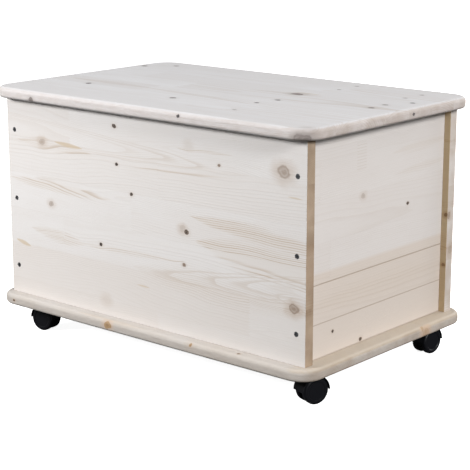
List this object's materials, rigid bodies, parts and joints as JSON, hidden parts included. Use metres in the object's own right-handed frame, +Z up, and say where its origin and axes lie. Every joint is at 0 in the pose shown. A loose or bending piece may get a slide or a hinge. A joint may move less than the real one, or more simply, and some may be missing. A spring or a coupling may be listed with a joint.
{
  "type": "toy box",
  "caption": "Rectangular toy chest of raw edge-glued spruce boards with a hinged overhanging lid, rounded base board and hooded twin-wheel castors.",
  "frame": {"origin": "on the floor under the middle of the chest", "axes": "+X along the length, +Y from the front to the back, +Z up"},
  "size_m": [0.656, 0.418, 0.415],
  "materials": {
    "raw_spruce": "raw sanded, pale",
    "black_nylon": "moulded, satin",
    "zinc_steel": "zinc plated",
    "dark_steel": "dark phosphate",
    "grey_felt": "felt"
  },
  "bodies": {
    "chest": {"base_board": "raw_spruce", "front_panel": "raw_spruce", "back_panel": "raw_spruce", "left_end_panel": "raw_spruce", "right_end_panel": "raw_spruce", "lid_buffers": "grey_felt", "front_panel_screws": "dark_steel", "back_panel_screws": "dark_steel", "base_board_screws": "dark_steel", "hinge_panel_screws": "zinc_steel", "left_hinge_panel_leaf": "zinc_steel", "left_hinge_pin": "zinc_steel", "right_hinge_panel_leaf": "zinc_steel", "right_hinge_pin": "zinc_steel", "castor_front_left_plate": "zinc_steel", "castor_front_left_plate_screws": "zinc_steel", "castor_front_left_kingpin": "zinc_steel", "castor_front_right_plate": "zinc_steel", "castor_front_right_plate_screws": "zinc_steel", "castor_front_right_kingpin": "zinc_steel", "castor_back_right_plate": "zinc_steel", "castor_back_right_plate_screws": "zinc_steel", "castor_back_right_kingpin": "zinc_steel", "castor_back_left_plate": "zinc_steel", "castor_back_left_plate_screws": "zinc_steel", "castor_back_left_kingpin": "zinc_steel"},
    "lid": {"lid": "raw_spruce", "left_hinge_lid_leaf": "zinc_steel", "right_hinge_lid_leaf": "zinc_steel", "hinge_lid_screws": "zinc_steel"},
    "front_left_castor": {"castor_front_left_hood": "black_nylon", "castor_front_left_axle": "zinc_steel"},
    "front_left_wheel_a": {"castor_front_left_wheel_a": "black_nylon"},
    "front_left_wheel_b": {"castor_front_left_wheel_b": "black_nylon"},
    "front_right_castor": {"castor_front_right_hood": "black_nylon", "castor_front_right_axle": "zinc_steel"},
    "front_right_wheel_a": {"castor_front_right_wheel_a": "black_nylon"},
    "front_right_wheel_b": {"castor_front_right_wheel_b": "black_nylon"},
    "back_right_castor": {"castor_back_right_hood": "black_nylon", "castor_back_right_axle": "zinc_steel"},
    "back_right_wheel_a": {"castor_back_right_wheel_a": "black_nylon"},
    "back_right_wheel_b": {"castor_back_right_wheel_b": "black_nylon"},
    "back_left_castor": {"castor_back_left_hood": "black_nylon", "castor_back_left_axle": "zinc_steel"},
    "back_left_wheel_a": {"castor_back_left_wheel_a": "black_nylon"},
    "back_left_wheel_b": {"castor_back_left_wheel_b": "black_nylon"}
  },
  "joints": [
    {"name": "lid_hinge", "type": "hinge", "parent": "chest", "child": "lid", "pos_m": [0, 0.1919, 0.3941], "axis": [-1, 0, 0], "range_deg": [0, 104]},
    {"name": "front_left_swivel", "type": "hinge", "parent": "chest", "child": "front_left_castor", "pos_m": [-0.283, -0.152, 0.0205], "axis": [0, 0, 1], "continuous": true},
    {"name": "front_left_wheel_a_spin", "type": "hinge", "parent": "front_left_castor", "child": "front_left_wheel_a", "pos_m": [-0.2726, -0.15054, 0.0205], "axis": [-0.1392, 0.9903, 0], "continuous": true},
    {"name": "front_left_wheel_b_spin", "type": "hinge", "parent": "front_left_castor", "child": "front_left_wheel_b", "pos_m": [-0.2726, -0.15054, 0.0205], "axis": [-0.1392, 0.9903, 0], "continuous": true},
    {"name": "front_right_swivel", "type": "hinge", "parent": "chest", "child": "front_right_castor", "pos_m": [0.283, -0.152, 0.0205], "axis": [0, 0, 1], "continuous": true},
    {"name": "front_right_wheel_a_spin", "type": "hinge", "parent": "front_right_castor", "child": "front_right_wheel_a", "pos_m": [0.28659, -0.14213, 0.0205], "axis": [-0.9397, 0.342, 0], "continuous": true},
    {"name": "front_right_wheel_b_spin", "type": "hinge", "parent": "front_right_castor", "child": "front_right_wheel_b", "pos_m": [0.28659, -0.14213, 0.0205], "axis": [-0.9397, 0.342, 0], "continuous": true},
    {"name": "back_right_swivel", "type": "hinge", "parent": "chest", "child": "back_right_castor", "pos_m": [0.283, 0.152, 0.0205], "axis": [0, 0, 1], "continuous": true},
    {"name": "back_right_wheel_a_spin", "type": "hinge", "parent": "back_right_castor", "child": "back_right_wheel_a", "pos_m": [0.2841, 0.16244, 0.0205], "axis": [-0.9945, 0.1045, 0], "continuous": true},
    {"name": "back_right_wheel_b_spin", "type": "hinge", "parent": "back_right_castor", "child": "back_right_wheel_b", "pos_m": [0.2841, 0.16244, 0.0205], "axis": [-0.9945, 0.1045, 0], "continuous": true},
    {"name": "back_left_swivel", "type": "hinge", "parent": "chest", "child": "back_left_castor", "pos_m": [-0.283, 0.152, 0.0205], "axis": [0, 0, 1], "continuous": true},
    {"name": "back_left_wheel_a_spin", "type": "hinge", "parent": "back_left_castor", "child": "back_left_wheel_a", "pos_m": [-0.27597, 0.1598, 0.0205], "axis": [-0.7431, 0.6691, 0], "continuous": true},
    {"name": "back_left_wheel_b_spin", "type": "hinge", "parent": "back_left_castor", "child": "back_left_wheel_b", "pos_m": [-0.27597, 0.1598, 0.0205], "axis": [-0.7431, 0.6691, 0], "continuous": true}
  ]
}
